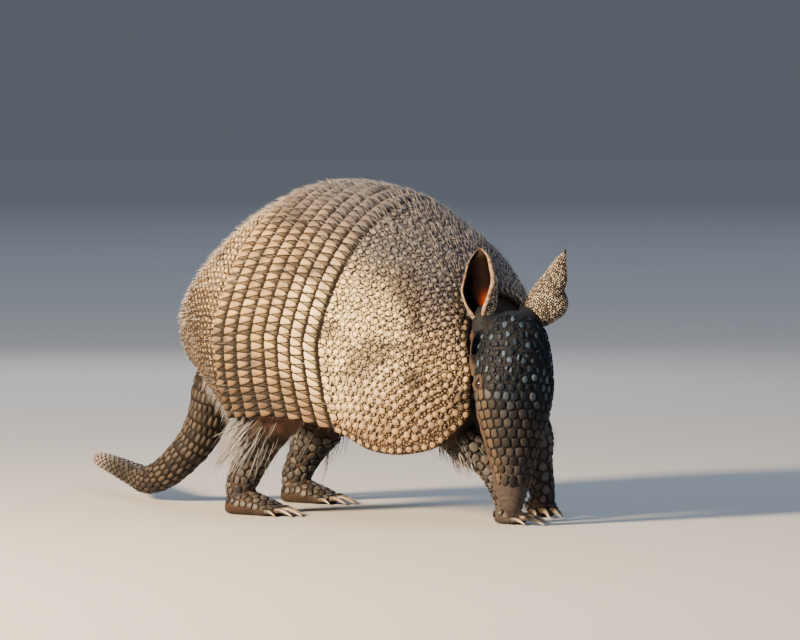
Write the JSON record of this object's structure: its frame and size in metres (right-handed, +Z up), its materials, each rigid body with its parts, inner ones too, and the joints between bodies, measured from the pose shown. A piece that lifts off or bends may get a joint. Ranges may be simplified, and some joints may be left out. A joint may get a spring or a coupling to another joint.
{
  "type": "armadillo model",
  "caption": "Still life-size model of a banded armadillo standing with its head held down and its tail laid along the floor.",
  "frame": {"origin": "on the floor under the middle of the part's box", "axes": "+X forwards along the back towards the neck, +Y to the animal's left, +Z up"},
  "size_m": [0.3817, 0.164, 0.1858],
  "materials": {
    "shell_scales": "satin",
    "band_scales": "satin",
    "body_skin": "matte",
    "head_scales": "satin",
    "ear_skin": "matte",
    "eye_surface": "gloss",
    "leg_scales": "matte",
    "tail_scales": "satin"
  },
  "bodies": {
    "root": {"torso": "body_skin", "neck": "body_skin", "head": "head_scales", "ear_right": "ear_skin", "ear_left": "ear_skin", "eye_right": "eye_surface", "eye_left": "eye_surface", "foreleg_right": "leg_scales", "foreleg_left": "leg_scales", "hindleg_right": "leg_scales", "hindleg_left": "leg_scales", "tail": "tail_scales", "scapular_shield": "shell_scales", "pelvic_shield": "shell_scales", "shell_band_1": "band_scales", "shell_band_2": "band_scales", "shell_band_3": "band_scales", "shell_band_4": "band_scales", "shell_band_5": "band_scales", "shell_band_6": "band_scales", "shell_band_7": "band_scales", "shell_band_8": "band_scales"}
  },
  "joints": []
}
